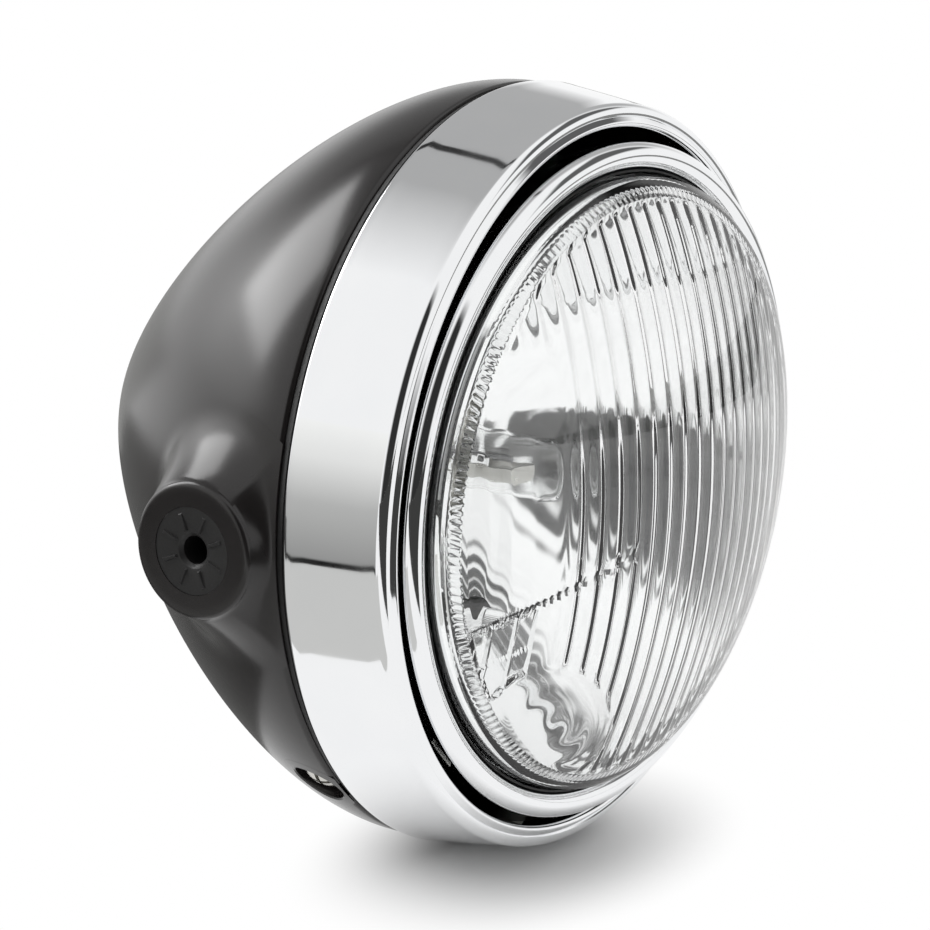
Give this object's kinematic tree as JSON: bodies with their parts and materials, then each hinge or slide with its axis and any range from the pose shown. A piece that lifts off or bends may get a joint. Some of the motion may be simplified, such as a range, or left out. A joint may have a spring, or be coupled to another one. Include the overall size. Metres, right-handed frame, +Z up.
{
  "type": "motorcycle_headlight",
  "caption": "Round motorcycle headlight: black bowl shell with threaded side mounts, chrome outer ring, chrome inner rim, and a domed fluted glass lens that swivels slightly to aim the beam.",
  "frame": {"origin": "The middle of the line through the two side mounting holes, inside the bowl, 5 mm below the axis of the lamp.", "axes": "+X along the mounting line towards the right boss (the lamp's own left boss, on the picture's near side, is at -X), -Y the way the light shines, +Z up."},
  "size_m": [0.2062, 0.1744, 0.195],
  "materials": {
    "black_paint": "gloss",
    "black_steel": "satin",
    "chrome_plate": "polished",
    "zinc_steel": "satin",
    "brass_tabs": "satin",
    "tungsten": "satin",
    "bright_mirror": "polished",
    "clear_glass": "polished",
    "black_rubber": "matt",
    "nylon": "matt"
  },
  "bodies": {
    "housing": {"bowl": "black_paint", "boss_insert_left": "black_steel", "boss_insert_right": "black_steel", "cable_grommet": "black_rubber", "seam_seal": "black_rubber", "outer_ring": "chrome_plate", "mounting_ring": "black_paint", "mounting_screws": "zinc_steel", "ring_screw_left": "zinc_steel", "ring_screw_right": "zinc_steel", "ring_nut_left": "zinc_steel", "ring_nut_right": "zinc_steel", "pivot_screw_top": "zinc_steel", "pivot_screw_bottom": "zinc_steel", "adjuster_screw": "zinc_steel", "adjuster_collar": "zinc_steel", "adjuster_spring": "zinc_steel"},
    "optic": {"pivot_bush_top": "nylon", "pivot_bush_bottom": "nylon", "adjuster_nut": "nylon", "inner_rim": "chrome_plate", "retaining_ring": "zinc_steel", "optic_clips": "zinc_steel", "rim_gasket": "black_rubber", "lens": "clear_glass", "lens_seal": "black_rubber", "reflector": "bright_mirror", "bulb_envelope": "clear_glass", "bulb_base": "zinc_steel", "bulb_terminals": "brass_tabs", "dip_shield": "zinc_steel", "filaments": "tungsten", "bulb_spring": "zinc_steel", "dust_boot": "black_rubber", "pilot_holder": "black_rubber", "pilot_bulb": "clear_glass"}
  },
  "joints": [
    {"name": "beam_aim", "type": "hinge", "parent": "housing", "child": "optic", "pos_m": [0, -0.0255, 0.005], "axis": [0, 0, 1], "range_deg": [-0.5, 5.5]}
  ]
}
